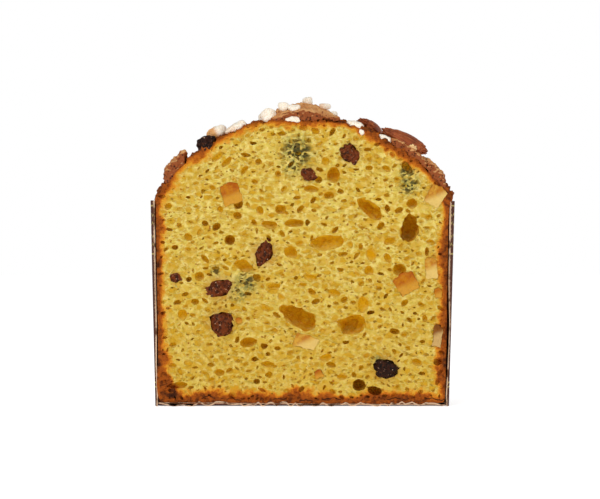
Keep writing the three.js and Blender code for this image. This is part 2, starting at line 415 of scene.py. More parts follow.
@dataclass(frozen=True)
class Lie:
    """How a frame node lies: its middle, its long, broad and thin directions, and its size along each."""

    middle: Vector
    turn: Matrix
    size: Vector

    @classmethod
    def of(cls, node: str) -> "Lie":
        """Measures a node of the frame.

        Args:
            node: The node's name.

        Returns:
            How it lies. Its long direction points to its slimmer end, and its thin one upwards.
        """
        source = frame["nodes"][node]
        corners = np.array([source.matrix_world @ vertex.co for vertex in source.data.vertices])
        middle = (corners.min(axis=0) + corners.max(axis=0)) / 2
        _, _, ways = np.linalg.svd(corners - corners.mean(axis=0), full_matrices=False)
        along = (corners - corners.mean(axis=0)) @ ways.T
        girth = np.hypot(along[:, 1], along[:, 2])
        if girth[along[:, 0] > 0].mean() > girth[along[:, 0] < 0].mean():
            ways[0] *= -1
        if ways[2][2] < 0:
            ways[2] *= -1
        ways[1] = np.cross(ways[2], ways[0])
        spread = (corners - middle) @ ways.T
        low, high = spread.min(axis=0), spread.max(axis=0)
        turn = Matrix(ways).transposed()
        return cls(Vector(middle) + turn @ Vector((high + low) / 2), turn, Vector(high - low))

    def hold(self, piece: Piece, stretch: Sequence[float]) -> None:
        """Gives a piece made one unit large this size, turn and place.

        Args:
            piece: The piece, long along X, broad along Y and thin along Z.
            stretch: Scales it further along each of these.
        """
        size = Matrix.Diagonal([side * more for side, more in zip(self.size, stretch)]).to_4x4()
        piece.matrix_world = Matrix.Translation(self.middle) @ self.turn.to_4x4() @ size
        Bench.settle(piece)

    def lay(self, piece: Piece) -> None:
        """Gives a piece of the right size this turn and place."""
        piece.matrix_world = Matrix.Translation(self.middle) @ self.turn.to_4x4()
        Bench.settle(piece)


# ---------------------------------------------------------------- materials

Socket = bpy.types.NodeSocket
Value = float | Sequence[float] | Socket


class Graph:
    """One material's nodes, added one at a time and wired as they are added."""

    def __init__(self, name: str) -> None:
        """Starts a material with a shader and its output.

        Args:
            name: The material's name.
        """
        self.material = bpy.data.materials.new(name)
        self.material.use_nodes = True
        self.tree = self.material.node_tree
        self.shader = self.tree.nodes["Principled BSDF"]
        self.place = self.tree.nodes.new("ShaderNodeTexCoord").outputs["Object"]

    def add(
        self, kind: str, wires: dict[str | int, Value], out: str | int = 0, **settings: object
    ) -> Socket:
        """Adds a node and wires it.

        Args:
            kind: The node's type, without its ShaderNode prefix.
            wires: A value or another node's output for each input, by name or number.
            out: The output that is wanted.
            settings: The node's settings by name.

        Returns:
            The wanted output.
        """
        node = self.tree.nodes.new(f"ShaderNode{kind}")
        for name, value in settings.items():
            setattr(node, name, value)
        for name, value in wires.items():
            self.wire(node.inputs[name], value)
        return node.outputs[out]

    def wire(self, socket: Socket, value: Value) -> None:
        """Gives an input a value, or links another node's output to it.

        Args:
            socket: The input.
            value: The value, or the other node's output.
        """
        if isinstance(value, bpy.types.NodeSocket):
            self.tree.links.new(value, socket)
        else:
            socket.default_value = value

    def dress(self, **inputs: Value) -> None:
        """Sets the shader's inputs, each by its name with underscores for spaces."""
        for name, value in inputs.items():
            self.wire(self.shader.inputs[name.replace("_", " ")], value)

    def own_place(self) -> Socket:
        """Gives the place in the piece's own frame, as Bench.remember kept it."""
        return self.add("Attribute", {}, "Vector", attribute_name="own_place")

    def stretched(self, place: Value, scale: Sequence[float]) -> Socket:
        """Stretches a pattern by scaling the place it is read at."""
        return self.add("Mapping", {"Vector": place, "Scale": scale})

    def noise(
        self, size: float, detail: float = 3, place: Optional[Socket] = None, rough: float = 0.55
    ) -> Socket:
        """Adds cloudy noise.

        Args:
            size: How large one cloud is, in metres.
            detail: How many finer layers it has.
            place: Where it is read, if not at the object's own place.
            rough: How strong the finer layers are.

        Returns:
            A value around 0.5.
        """
        wires = {"Vector": place or self.place, "Scale": 1 / size, "Detail": detail, "Roughness": rough}
        return self.add("TexNoise", wires, "Fac")

    def cells(
        self, size: float, place: Optional[Socket] = None, feature: str = "F1", out: str = "Distance"
    ) -> Socket:
        """Adds a pattern of cells.

        Args:
            size: How far apart the cells lie, in metres.
            place: Where it is read, if not at the object's own place.
            feature: F1, SMOOTH_F1 or DISTANCE_TO_EDGE.
            out: The output that is wanted.

        Returns:
            The wanted output.
        """
        wires = {"Vector": place or self.place, "Scale": 1 / size}
        return self.add("TexVoronoi", wires, out, feature=feature)

    def ease(self, value: Value, low: float, high: float, to_low: float = 0, to_high: float = 1) -> Socket:
        """Maps a value smoothly from one range to another, and holds it there."""
        wires = {"Value": value, "From Min": low, "From Max": high, "To Min": to_low, "To Max": to_high}
        return self.add("MapRange", wires, interpolation_type="SMOOTHSTEP")

    def math(self, one: Value, two: Value, kind: str) -> Socket:
        """Joins two values by a Math node of the given kind."""
        return self.add("Math", {0: one, 1: two}, operation=kind)

    def plus(self, one: Value, two: Value) -> Socket:
        """Adds two values."""
        return self.math(one, two, "ADD")

    def less(self, one: Value, two: Value) -> Socket:
        """Takes the second value from the first."""
        return self.math(one, two, "SUBTRACT")

    def times(self, one: Value, two: Value) -> Socket:
        """Multiplies two values."""
        return self.math(one, two, "MULTIPLY")

    def over(self, one: Value, two: Value) -> Socket:
        """Divides the first value by the second."""
        return self.math(one, two, "DIVIDE")

    def least(self, one: Value, two: Value) -> Socket:
        """Picks the smaller of two values."""
        return self.math(one, two, "MINIMUM")

    def most(self, one: Value, two: Value) -> Socket:
        """Picks the larger of two values."""
        return self.math(one, two, "MAXIMUM")

    def apart(self, one: Value, two: Value) -> Socket:
        """Gives how far apart two values lie."""
        return self.math(self.less(one, two), 0.0, "ABSOLUTE")

    def wander(self, size: float, detail: float, reach: float) -> Socket:
        """Adds noise that strays from 0 by up to half the reach each way."""
        return self.times(self.less(self.noise(size, detail), 0.5), reach)

    def off(self, *point: float) -> Socket:
        """Measures how far the place is from a point."""
        return self.add("VectorMath", {0: self.place, 1: point}, 1, operation="DISTANCE")

    def mix(self, share: Value, one: Value, two: Value, blend: str = "MIX") -> Socket:
        """Mixes two colours, all of the second where share is 1."""
        wires = {0: share, 6: one, 7: two}
        return self.add("Mix", wires, 2, data_type="RGBA", blend_type=blend)

    def axes(self, place: Optional[Socket] = None) -> tuple[Socket, Socket, Socket]:
        """Splits a place into x, y and z."""
        split = self.add("SeparateXYZ", {0: place or self.place}).node
        return split.outputs[0], split.outputs[1], split.outputs[2]

    def near_spots(
        self, spots: Rows, core: float = 0.1, join: Optional[Callable[[Socket, Socket], Socket]] = None
    ) -> Socket:
        """Marks some spots on the cut.

        Args:
            spots: Each spot's x, z, reach and, where it isn't 1, its strength.
            core: The share of its reach over which a spot is at full strength.
            join: How spots that overlap add up, if not by the strongest one.

        Returns:
            Each spot's strength in its middle, 0 outside them all.
        """
        marks = []
        for x, z, reach, *strength in spots:
            marks.append(self.ease(self.off(x, CUT, z), core * reach, reach, *(strength or [1]), 0))
        return reduce(join or self.most, marks)

    def relief(self, height: Value, depth: float, strength: float = 1) -> Socket:
        """Turns a height pattern, 0 to 1, into a bump that stands depth metres high."""
        return self.add("Bump", {"Height": height, "Distance": depth, "Strength": strength})

    def wear(self, piece: Piece) -> None:
        """Gives the finished material to a piece."""
        piece.data.materials.clear()
        piece.data.materials.append(self.material)


@dataclass(frozen=True)
class BakedCrumb:
    """The loaf's finish: pale yellow crumb, amber inside its pores, under a brown crust."""

    crumb: Colour = tone(210, 185, 86)
    wall: Colour = tone(222, 201, 116)
    deep_crumb: Colour = tone(196, 160, 58)
    shallow_pore: Colour = tone(192, 144, 20)
    pore: Colour = tone(214, 158, 6)
    deep_pore: Colour = tone(196, 124, 2)
    hole_shade_colour: Colour = tone(84, 38, 6)
    pin_hole_shade: Colour = tone(150, 76, 6)
    golden: Colour = tone(212, 146, 38)
    under_crust: Colour = tone(190, 106, 22)
    crust: Colour = tone(156, 78, 18)
    dark_crust: Colour = tone(92, 42, 12)
    scorched: Colour = tone(46, 20, 10)
    stain: Colour = tone(168, 116, 56)
    damp: Colour = tone(106, 110, 62)
    black_damp: Colour = tone(26, 30, 24)
    # Grey damp spots round the fruit: x, z and reach.
    damp_spots: Rows = millimetres(
        (-2.3, 117, 13),
        (-4.6, 110, 7),
        (48.6, 108, 7),
        (49.4, 102, 8),
        (-26, 57, 9),
        (-29, 52, 7),
        (-40, 62, 4),
        (34, 21, 4),
    )
    # Air holes painted nearly black inside, as painted shade: x, z and reach.
    hole_shade_spots: Rows = millimetres(
        (26.2, 9.8, 7),
        (32.8, 7.8, 8),
        (51, 83, 7),
        (48.6, 109.6, 5),
        (-47.2, 60, 3),
        (-39.3, 82.4, 3.4),
        (42.3, 34.5, 3),
        (-20.9, 11.5, 3),
    )
    # Places where the crust is thicker, or thinner: x, z, reach and by how much.
    thick_spots: Rows = millimetres(
        (-65, 6, 12, 5.5),
        (67, 98, 9, 2),
        (-64, 97, 9, 1.6),
        (33, 3, 9, 2.4),
        (70, 26, 30, 1.3),
        (70, 70, 30, 1.3),
        (-72, 50, 46, 1),
        (-40, 0, 30, 2),
        (5, 0, 30, 2),
        (45, 0, 20, 1.8),
        (-26, 128, 22, -0.7),
        (-54, 112, 10, -0.8),
        (42, 126, 20, 1.4),
    )

    def crust_depth(self, graph: Graph) -> Socket:
        """Measures how far a place lies under the crust's outside.

        Args:
            graph: The material's nodes.

        Returns:
            The depth in metres, about 0 on the outside.
        """
        x, y, z = graph.axes()
        radius = graph.add("VectorMath", {0: graph.add("CombineXYZ", {0: x, 1: y})}, 1, operation="LENGTH")
        share = graph.over(radius, LOAF_HIGH.x)
        slant = graph.ease(share, 0.25, 1, 0.9, 0.34)
        crown = graph.add("FloatCurve", {"Value": share})
        curve = crown.node.mapping.curves[0]
        for at, (along, up) in zip((0, -1), (CROWN[-1], CROWN[0])):
            curve.points[at].location = (along, up)
        for along, up in CROWN[1:-1]:
            curve.points.new(along, up)
        crown.node.mapping.update()
        height = graph.add("Math", {0: crown, 1: LOAF_HIGH.z - RIM, 2: RIM}, operation="MULTIPLY_ADD")
        over = graph.less(height, z)
        wall = graph.add(
            "MapRange", {"Value": z, "From Max": RIM, "To Min": LOAF_FOOT, "To Max": LOAF_HIGH.x}
        )
        side = graph.times(graph.less(wall, radius), 0.8)
        under = graph.times(graph.less(z, FOOT), 0.62)
        return graph.least(graph.least(side, graph.times(over, slant)), under)

    def make(self) -> Graph:
        """Builds the material.

        Returns:
            Its nodes, ready to wear.
        """
        graph = Graph("baked_crumb")
        swirl = graph.add("TexNoise", {"Vector": graph.place, "Scale": 260.0, "Detail": 2.0}, "Color")
        warp = graph.add("Mix", {0: 0.0022, 4: graph.place, 5: swirl}, 1, data_type="VECTOR")
        pores = self.foam(graph, warp)
        crumb, relief = self.crumb_colour(graph, warp, pores)
        crust, crust_share = self.crust_colour(graph)
        grit = graph.noise(0.5 * MM, 3)
        granular = graph.times(graph.noise(1.1 * MM, 4), graph.times(crust_share, 1.6))
        sunk = graph.less(relief, granular)
        height = graph.less(graph.times(grit, 0.3), sunk)
        graph.dress(
            Base_Color=graph.mix(crust_share, crumb, crust),
            Roughness=graph.ease(crust_share, 0, 1, 0.8, 0.62),
            Specular_IOR_Level=0.07,
            Subsurface_Weight=0.16,
            Subsurface_Radius=(1.0, 0.62, 0.12),
            Subsurface_Scale=1.0 * MM,
            Normal=graph.relief(height, 0.6 * MM, 0.6),
        )
        return graph

    @staticmethod
    def foam(graph: Graph, place: Socket) -> Socket:
        """Draws the network of shallow pores too fine to be modelled, between thin walls.

        Args:
            graph: The material's nodes.
            place: Where the pattern is read.

        Returns:
            1 in the middle of a clear pore, 0 on the walls between.
        """
        layers = []
        for size, strength in ((5.4 * MM, 0.7), (3.3 * MM, 1.0), (1.9 * MM, 0.8)):
            flat = graph.stretched(place, (0.8, 1, 1.25))
            off_wall = graph.cells(size, flat, feature="DISTANCE_TO_EDGE")
            chance = graph.add("SeparateColor", {0: graph.cells(size, flat, out="Color")})
            bowl = graph.ease(off_wall, 0.06, 0.26)
            open_share = graph.ease(chance, 0.2, 0.75, 0, strength)
            layers.append(graph.times(bowl, open_share))
        return reduce(graph.most, layers)

    def crumb_colour(self, graph: Graph, place: Socket, pores: Socket) -> tuple[Socket, Socket]:
        """Colours the crumb: pale walls, golden shallow pores, amber deep ones, with painted light and
        shade.

        Args:
            graph: The material's nodes.
            place: Where fine patterns are read.
            pores: The network of shallow pores.

        Returns:
            The colour, and how deep the fine pores are cut.
        """
        _, y, z = graph.axes()
        behind = graph.less(y, CUT)
        patches = graph.noise(12 * MM, 4)
        body = graph.mix(graph.ease(patches, 0.32, 0.6), self.deep_crumb, self.crumb)
        body = graph.mix(graph.ease(graph.noise(2.2 * MM, 3), 0.42, 0.64), body, self.wall)
        # Painted shade: the crumb darkens towards the bottom.
        body = graph.mix(graph.ease(z, 8 * MM, 90 * MM, 0.4, 0), body, self.deep_crumb)
        # The fine pores' middles turn gold: partly the crumb's own amber, partly painted shade in their
        # hollows.
        body = graph.mix(graph.times(pores, 0.85), body, self.shallow_pore)
        # Painted shade: the pin holes are coloured dark brown.
        pins = graph.ease(self.pin_holes(graph, place, 1.7 * MM, 0.26), 0.0, 0.5)
        body = graph.mix(graph.times(pins, 0.8), body, self.pin_hole_shade)
        # Inside the holes the colour turns amber, then darker amber deeper in: partly the crumb's own
        # amber, partly painted shade. Painted light: faces that point up stay paler.
        _, _, up = graph.axes(graph.add("NewGeometry", {}, "Normal"))
        lit = graph.ease(up, -0.1, 0.9, 1, 0.35)
        inside = graph.times(graph.ease(behind, 0.12 * MM, 1.7 * MM), lit)
        body = graph.mix(graph.times(inside, 0.95), body, self.pore)
        blotch = graph.ease(graph.noise(2.6 * MM, 3), 0.4, 0.7, 0.25, 1)
        deep = graph.times(graph.ease(behind, 1.8 * MM, 5 * MM), blotch)
        body = graph.mix(graph.times(deep, 0.85), body, self.deep_pore)
        # Painted shade: the listed air holes are darkened nearly black inside.
        hole_shade = graph.ease(graph.near_spots(self.hole_shade_spots), 0, 0.7)
        hole_shade = graph.times(hole_shade, graph.ease(behind, 0.2 * MM, 1.6 * MM))
        body = graph.mix(graph.times(hole_shade, blotch), body, self.hole_shade_colour)
        fringe = graph.times(graph.near_spots(self.stain_spots()), 0.75)
        body = graph.mix(fringe, body, self.stain)
        damp = graph.near_spots(self.damp_spots)
        mottle = graph.ease(graph.noise(1.5 * MM, 3), 0.36, 0.62)
        body = graph.mix(graph.times(graph.times(damp, mottle), 0.8), body, self.damp)
        black = graph.times(graph.ease(damp, 0.35, 0.9), graph.ease(pores, 0.35, 0.6))
        body = graph.mix(graph.times(black, 0.8), body, self.black_damp)
        return body, graph.most(pores, pins)

    def crust_colour(self, graph: Graph) -> tuple[Socket, Socket]:
        """Colours the crust: golden under it, then orange-brown, dark and granular on the outside.

        Args:
            graph: The material's nodes.

        Returns:
            The colour, and how much of it lies over the crumb.
        """
        wander = graph.wander(3.4 * MM, 5, 6.5 * MM)
        sweep = graph.wander(15 * MM, 2, 7 * MM)
        plain = self.crust_depth(graph)
        held = graph.times(graph.plus(wander, sweep), graph.ease(plain, 0, 3 * MM, 0.2, 1))
        extra = graph.near_spots(self.thick_spots, 0.3, graph.plus)
        depth = graph.less(graph.plus(plain, held), extra)
        body = graph.mix(graph.ease(depth, 1.1 * MM, 2.1 * MM, 1, 0), self.golden, self.under_crust)
        body = graph.mix(graph.ease(depth, 0.4 * MM, 1.4 * MM, 1, 0), body, self.crust)
        shade = graph.ease(graph.noise(1.8 * MM, 5), 0.38, 0.66)
        dark = graph.times(graph.ease(depth, -0.6 * MM, 1.1 * MM, 1, 0), shade)
        body = graph.mix(dark, body, self.dark_crust)
        scorch = graph.ease(graph.noise(7 * MM, 4), 0.56, 0.7)
        scorch = graph.times(scorch, graph.ease(depth, -0.5 * MM, 1.6 * MM, 0.9, 0))
        body = graph.mix(scorch, body, self.scorched)
        body = graph.mix(self.foot_cracks(graph), body, self.scorched)
        return body, graph.ease(depth, 1.6 * MM, 3.6 * MM, 1, 0)

    @staticmethod
    def stain_spots() -> Rows:
        """Lists the places that raisins stain: x, z and reach."""
        lies = [Lie.of(node) for node in nodes_of("raisin")]
        return tuple((lie.middle.x, lie.middle.z, 0.8 * lie.size.x) for lie in lies)

    @staticmethod
    def foot_cracks(graph: Graph) -> Socket:
        """Draws the long dark cracks that run through the crust just over the base.

        Args:
            graph: The material's nodes.

        Returns:
            Up to 1 on a crack, 0 beside it.
        """
        _, _, z = graph.axes()
        wave = graph.noise(9 * MM, 4, graph.stretched(graph.place, (1, 1, 0.05)))
        line = graph.plus(graph.times(wave, 9 * MM), FOOT - 2.2 * MM)
        off_line = graph.apart(z, line)
        broken = graph.ease(graph.noise(4 * MM, 2), 0.44, 0.56)
        return graph.times(graph.ease(off_line, 0.12 * MM, 0.4 * MM, 0.9, 0), broken)

    @staticmethod
    def pin_holes(graph: Graph, place: Socket, size: float, fill: float) -> Socket:
        """Scatters a few pin holes.

        Args:
            graph: The material's nodes.
            place: Where the pattern is read.
            size: How far apart they could lie, in metres.
            fill: The largest one's radius, as a share of size.

        Returns:
            1 in a hole's middle, falling to 0 and below at its edge.
        """
        near = graph.cells(size, place)
        chance = graph.add("SeparateColor", {0: graph.cells(size, place, out="Color")})
        reach = graph.add(
            "MapRange", {"Value": chance, "From Min": 0.72, "To Min": 0.001, "To Max": fill + 0.1}
        )
        return graph.over(graph.less(reach, near), reach)


# ---------------------------------------------------------------- the loaf


@dataclass(frozen=True)
class AirHole:
    """A large air hole open at the cut, in millimetres and degrees. Its depth is a share of its width."""

    x: float
    z: float
    width: float
    height: float
    turn: float = 0
    depth: float = 0.9


AIR_HOLES = tuple(
    AirHole(*sizes)
    for sizes in (
        (49.2, 81.7, 9.6, 12.6, 8, 1.3),
        (31, 90.6, 14, 7, 40),
        (11.3, 75.4, 16, 6.8, -3, 0.7),
        (-1.6, 41, 19, 9.6, 28),
        (22.8, 37.3, 12.4, 9),
        (14.5, 106.5, 6, 6.9),
        (30.8, 62.2, 5.4, 5, 0, 0.6),
        (31.6, 69.6, 4.4, 6.2, 0, 0.4),
        (27.8, 46.9, 5, 8.3, 0, 0.45),
        (-5.5, 71.1, 6.4, 6, 0, 0.6),
        (-24.6, 29.4, 7.8, 4.8, -8),
        (26, 9.8, 6, 5.2, 20, 1.8),
        (33.4, 7.4, 6.6, 4.6, 8, 1.8),
        (-27, 64.6, 9.4, 5.4, 16, 0.7),
        (4.4, 100, 7, 3.4, 4),
        (12.4, 96.8, 4.8, 3.4),
        (-3.7, 84.2, 9.2, 3.9, -6),
        (-15.2, 83.7, 7.6, 3.9, 4),
        (-10.1, 90.4, 4.8, 4.1),
        (-29.7, 87.6, 4.3, 3.4, 20),
        (50.4, 93.4, 5, 4.8, 0, 0.8),
        (39.1, 91.1, 3, 3.9, -20, 1.2),
        (42.3, 34.5, 4.6, 2.9, 10, 1.3),
        (56.4, 40.5, 2.5, 3.9),
        (-37.9, 15.6, 4.2, 2.9),
        (-20.9, 11.5, 3.4, 2.9, 0, 1.3),
        (26.9, 73.4, 2.5, 3.4),
        (-34.6, 112.3, 6.4, 2.8, -46, 0.8),
        (-39, 114.6, 6.6, 2.8, -42, 0.6),
        (-47.2, 60, 3.9, 3.9),
        (48.4, 109.6, 6.6, 4, 52, 1.1),
        (-39.3, 82.4, 4.2, 3, -38, 1.4),
        (-33.3, 76.6, 4.6, 4.4, 20, 1.4),
        (-29.2, 92.8, 4.2, 3.4, -60, 1.2),
        (44.6, 62.8, 6, 5.6, 30, 0.8),
        (57.3, 71.1, 2.3, 4.3, 0, 1.4),
        (-57.3, 9.6, 9.7, 3, -6, 1.1),
        (-44.6, 84, 3.2, 2.8, 30, 1.1),
        (-20, 112.4, 3, 2.8),
        (-26.6, 108.6, 5.2, 2.6, -50, 0.8),
        (-11, 106.7, 3.2, 3.2),
        (30, 118, 3.6, 2.2, 0, 1.2),
        (30.8, 109.6, 3.6, 2.2),
        (10.6, 112.8, 4, 4, 0, 0.5),
        (7.6, 104, 3.6, 3.6),
        (3.6, 59.4, 6.4, 3.2, 12, 0.6),
        (-13, 55, 6, 3, -6, 0.6),
        (14.6, 52.4, 5.6, 3.4, 18, 0.6),
        (40, 76, 5.6, 3.6, -24, 0.6),
        (-52.4, 78, 4.2, 3.4, 30, 0.7),
        (-55, 42, 4.4, 5, 0, 0.6),
        (-16, 19.4, 6.6, 3, 6, 0.7),
        (10.8, 22.6, 6, 3.2, -10, 0.6),
        (52.6, 20.4, 5.2, 3.4, 14, 0.7),
        (18.4, 13.6, 5, 2.6, 0, 0.7),
    )
)


# How large each kind's hollow in the loaf is, against the frame node that lies in it.
SNUG = {"glaze": 1.04, "raisin": 1.1, "peel": 0.97}


@dataclass
class Loaf:
    """Crumb and crust baked as one piece, cut upright."""

    steps: int = 48
    corner: float = 2.2 * MM
    seed: int = 11
    tries_each: int = 12
    holes: tuple[AirHole, ...] = AIR_HOLES
    # Places where the crust swelled over the rim or out at the foot: x, z, reach and how far.
    bulges: Rows = millimetres((66, 101.6, 7.6, 4.2), (-66, 98.6, 3.6, 1), (-67, 11, 8, 1.1))
    # Radii of the small pores and how many of each are tried.
    pore_sizes: tuple[tuple[float, float, int], ...] = (
        (1.5 * MM, 2.5 * MM, 260),
        (0.95 * MM, 1.5 * MM, 800),
        (0.6 * MM, 0.95 * MM, 1400),
    )
    taken: list[tuple[float, float, float]] = field(default_factory=list)

    def build(self) -> Piece:
        """Models the loaf.

        Returns:
            The finished piece.
        """
        piece = self.body()
        Bench.slice_front(piece, fill=True)
        Bench.carve(piece, self.pockets())
        Bench.carve(piece, self.air_holes())
        rng = random.Random(self.seed)
        for low, high, tries in self.pore_sizes:
            Bench.carve(piece, self.pores(rng, low, high, tries))
        piece.data.validate()
        Bench.smooth(piece, 50)
        return piece

    def body(self) -> Piece:
        """Turns the uncut loaf and gives its crust its unevenness.

        Returns:
            The uncut loaf.
        """
        base = [(LOAF_FOOT - self.corner, FOOT), (LOAF_FOOT - 0.8 * MM, FOOT + 0.9 * MM)]
        wall = [(LOAF_FOOT, FOOT + self.corner)]
        for share in (0.1, 0.4, 0.7, 1):
            wall.append((LOAF_FOOT + (LOAF_HIGH.x - LOAF_FOOT) * share, RIM * (0.04 + 0.93 * share)))
        rise = LOAF_HIGH.z - RIM
        crown = [(LOAF_HIGH.x * share, RIM + rise * up) for share, up in self.crown_rings(12)]
        piece = Bench.turned("loaf_baked", base + wall + crown, self.steps, closed=True)
        Bench.finish(piece, "SUBSURF", levels=3, render_levels=3)
        points = Bench.points(piece)
        Bench.weigh(piece, "crown", np.clip((points[:, 2] - RIM + 4 * MM) / (14 * MM), 0, 1))
        Bench.roughen(piece, 9 * MM, 2.2 * MM, "crown")
        Bench.roughen(piece, 2.1 * MM, 6 * MM, "crown")
        Bench.roughen(piece, 3 * MM, 0.5 * MM)
        points = Bench.points(piece)
        for x, z, reach, bulge in self.bulges:
            off = points - np.array((x, CUT, z))
            points[:, 0] += math.copysign(bulge, x) * np.exp(-((off / reach) ** 2).sum(axis=1))
        Bench.move_points(piece, points)
        return piece

    @staticmethod
    def crown_rings(count: int) -> list[tuple[float, float]]:
        """Rounds the crown's section into evenly spread rings.

        Args:
            count: How many rings.

        Returns:
            Shares of the half width and of the crown's height, from the rim up.
        """
        along = np.linspace(0, 1, 60)
        reach, rise = zip(*reversed(CROWN))
        curve = np.polynomial.Polynomial.fit(np.array(reach) ** 2, rise, 4)
        radii = np.cos(along[:-1] * math.pi / 2)
        picked = [radii[int(step)] for step in np.linspace(0, len(radii) - 1, count)]
        return [(float(radius), float(curve(radius**2))) for radius in picked]

    def pockets(self) -> Piece:
        """Makes the hollows that raisins, peel and glaze lie in, from their frame nodes.

        Returns:
            The hollows as one cutter.
        """
        hollows = []
        for node in frame["nodes"]:
            if not node.startswith(("raisin", "peel", "glaze_left_shoulder")):
                continue
            hollow = Bench.copy_of(node, f"{node}_hollow")
            lie = Lie.of(node)
            snug = SNUG[node.split("_")[0]]
            self.taken.append((lie.middle.x, lie.middle.z, 0.42 * min(lie.size.x, 2 * lie.size.y)))
            Bench.take(hollow)
            bpy.ops.transform.resize(value=(snug, 1, snug), center_override=lie.middle)
            Bench.settle(hollow)
            hollows.append(hollow)
        return Bench.join(hollows)

    def air_holes(self) -> Piece:
        """Makes the large air holes.

        Returns:
            The holes as one cutter.
        """
        hollows = []
        for number, hole in enumerate(self.holes):
            hollow = Bench.ball(f"air_hole_{number:02d}", 4 if hole.width > 8 else 3, 0.5 * MM)
            deep = min(hole.width, hole.height) * hole.depth
            hollow.scale = (hole.width, deep * 1.7, hole.height)
            hollow.rotation_euler.y = math.radians(hole.turn)
            hollow.location = (hole.x * MM, CUT + 0.12 * deep * MM, hole.z * MM)
            Bench.settle(hollow)
            Bench.roughen(hollow, 4.4 * MM, 0.42 * min(hole.width, hole.height) * MM)
            Bench.roughen(hollow, 1.5 * MM, 0.5 * MM)
            self.taken.append((hole.x * MM, hole.z * MM, 0.46 * MM * min(hole.width, hole.height)))
            hollows.append(hollow)
        return Bench.join(hollows)

    def pores(self, rng: random.Random, low: float, high: float, tries: int) -> Piece:
        """Scatters cutters for one size of pore over the cut, clear of what is there.

        Args:
            rng: The seeded source of chance.
            low: The smallest radius.
            high: The largest radius.
            tries: How many are tried.

        Returns:
            The cutters as one piece.
        """
        seed_shape = Bench.ball("pore", 2 if low > 0.9 * MM else 1, 1)
        corners = Bench.points(seed_shape)
        faces = np.array([list(face.vertices) for face in seed_shape.data.polygons])
        bpy.data.objects.remove(seed_shape, do_unlink=True)
        points, polygons = [], []
        for _ in range(tries):
            found = self.free_place(rng, low, high)
            if found is None:
                continue
            x, z, radius = found
            self.taken.append(found)
            turn = Matrix.Rotation(rng.gauss(0, 0.6), 3, "Y")
            sides = [rng.uniform(*span) for span in ((0.9, 1.15), (0.7, 1.3), (0.45, 0.85))]
            spread = np.array(turn @ Matrix.Diagonal(sides)) * radius
            offset = (x, CUT + rng.uniform(-0.6, 0.45) * radius, z)
            way = np.array([rng.uniform(-3.2, 3.2) for _ in range(3)])
            first, second = rng.uniform(0, 6), rng.uniform(0, 6)
            lobes = np.sin(corners @ way + first) * np.cos(corners @ way[::-1] + second)
            jitter = (1 - 0.24 * (lobes + 0.4))[:, None]
            polygons.append(faces + len(points) * len(corners))
            points.append((corners * jitter) @ spread.T + offset)
        mesh = bpy.data.meshes.new("pores")
        mesh.from_pydata(np.concatenate(points).tolist(), [], np.concatenate(polygons).tolist())
        cutters = bpy.data.objects.new("pores", mesh)
        bpy.context.scene.collection.objects.link(cutters)
        LOG.info("%d pores of %.1f to %.1f mm", len(points), 2 * low / MM, 2 * high / MM)
        return cutters

    def free_place(
        self, rng: random.Random, low: float, high: float
    ) -> Optional[tuple[float, float, float]]:
        """Looks for a place in the crumb where a pore touches nothing that is there.

        Args:
            rng: The seeded source of chance.
            low: The pore's smallest radius.
            high: Its largest radius.

        Returns:
            The pore's x, z and radius, or None if a few tries found no room.
        """
        for _ in range(self.tries_each):
            radius = rng.uniform(low, high)
            x = rng.uniform(-1, 1) * (LOAF_HIGH.x - 2.5 * MM)
            z = rng.uniform(FOOT + 2.5 * MM, LOAF_HIGH.z - 2 * MM)
            clear = all(
                (x - a) ** 2 + (z - b) ** 2 > (1.08 * radius + reach + 0.08 * MM) ** 2
                for a, b, reach in self.taken
            )
            if clear and self.under_crust(x, z) > radius + 0.6 * MM:
                return x, z, radius
        return None

    @staticmethod
    def under_crust(x: float, z: float) -> float:
        """Measures about how far a place on the cut lies under the crust.

        Args:
            x: The place's x.
            z: The place's z.

        Returns:
            The distance in metres.
        """
        radius = math.hypot(x, CUT)
        reach, rise = zip(*reversed(CROWN))
        top = RIM + (LOAF_HIGH.z - RIM) * float(np.interp(radius / LOAF_HIGH.x, reach, rise))
        side = LOAF_FOOT + (LOAF_HIGH.x - LOAF_FOOT) * min(z / RIM, 1) - radius
        return min(0.8 * (top - z), side, z - FOOT)


# ---------------------------------------------------------------- the paper mould


